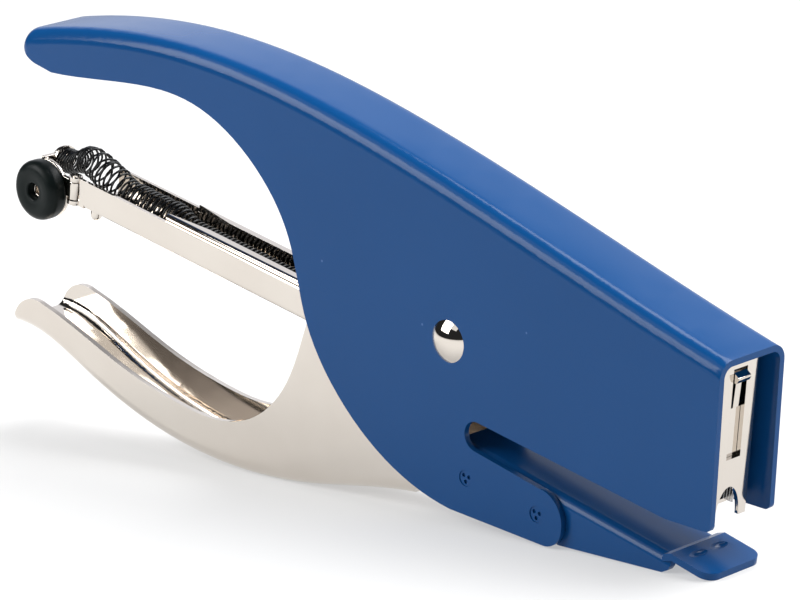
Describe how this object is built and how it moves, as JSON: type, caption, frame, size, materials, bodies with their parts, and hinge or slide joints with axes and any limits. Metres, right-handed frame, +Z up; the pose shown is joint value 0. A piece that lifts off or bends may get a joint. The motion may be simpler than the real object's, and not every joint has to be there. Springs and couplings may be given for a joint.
{
  "type": "stapler",
  "caption": "Plier stapler: blue folded sheet-steel casing and handle, nickel lever, magazine with coil spring and black knob, clinching anvil.",
  "frame": {"origin": "centre of the bounding box's base, on the surface that the stapler stands on", "axes": "+X towards the nose, +Y to the side away from the knob, +Z up"},
  "size_m": [0.1584, 0.0164, 0.0698],
  "materials": {
    "blue_enamel": "glossy stove enamel",
    "nickel_satin": "nickel plated, satin",
    "nickel_bright": "nickel plated, mirror bright",
    "spring_black": "black oxide",
    "spring_steel": "oiled",
    "staple_wire": "galvanised",
    "knob_black": "moulded, satin"
  },
  "bodies": {
    "frame": {"casing": "blue_enamel", "anvil": "blue_enamel", "anvil_rivets": "blue_enamel", "pivot_rivet": "nickel_bright", "pivot_bush": "spring_steel", "cheek_washers": "spring_steel", "return_spring": "spring_steel"},
    "lever": {"lever": "nickel_satin"},
    "magazine": {"magazine_channel": "nickel_satin", "magazine_guide": "nickel_satin", "nose_plate": "nickel_satin", "nose_rivets": "nickel_satin", "staples": "staple_wire", "floor_rivet": "nickel_satin", "gate_pin": "nickel_satin", "pusher_spring": "spring_black"},
    "driver": {"driver": "nickel_satin"},
    "pusher": {"pusher": "nickel_satin"},
    "gate": {"gate": "nickel_satin", "knob": "knob_black", "knob_eyelet": "nickel_satin", "spring_seat": "nickel_bright"}
  },
  "joints": [
    {"name": "lever_squeeze", "type": "hinge", "parent": "frame", "child": "lever", "pos_m": [0.02474, 0, 0.02929], "axis": [0, 1, 0], "range_deg": [0, 13.2], "stiffness_Nm_per_rad": 1.2, "springref_deg": -14.32, "deforming": ["return_spring"]},
    {"name": "magazine_swing", "type": "hinge", "parent": "frame", "child": "magazine", "pos_m": [0.02474, 0, 0.02929], "axis": [0, 1, 0], "range_deg": [0, 6.9]},
    {"name": "driver_slide", "type": "slide", "parent": "magazine", "child": "driver", "axis": [-0.1744, 0, -0.9847], "range_m": [0, 0.0054]},
    {"name": "pusher_slide", "type": "slide", "parent": "magazine", "child": "pusher", "axis": [0.9738, 0, -0.2274], "range_m": [-0.055, 0], "stiffness_N_per_m": 20, "springref_m": 0.08, "deforming": ["pusher_spring"]},
    {"name": "gate_swing", "type": "hinge", "parent": "magazine", "child": "gate", "pos_m": [-0.06196, -0.0043, 0.04193], "axis": [0.2274, 0, 0.9738], "range_deg": [0, 95]}
  ],
  "couplings": [
    {"joint": "magazine_swing", "follows": "lever_squeeze", "ratio": 0.52273},
    {"joint": "driver_slide", "follows": "lever_squeeze", "m_per_rad": 0.023439}
  ]
}
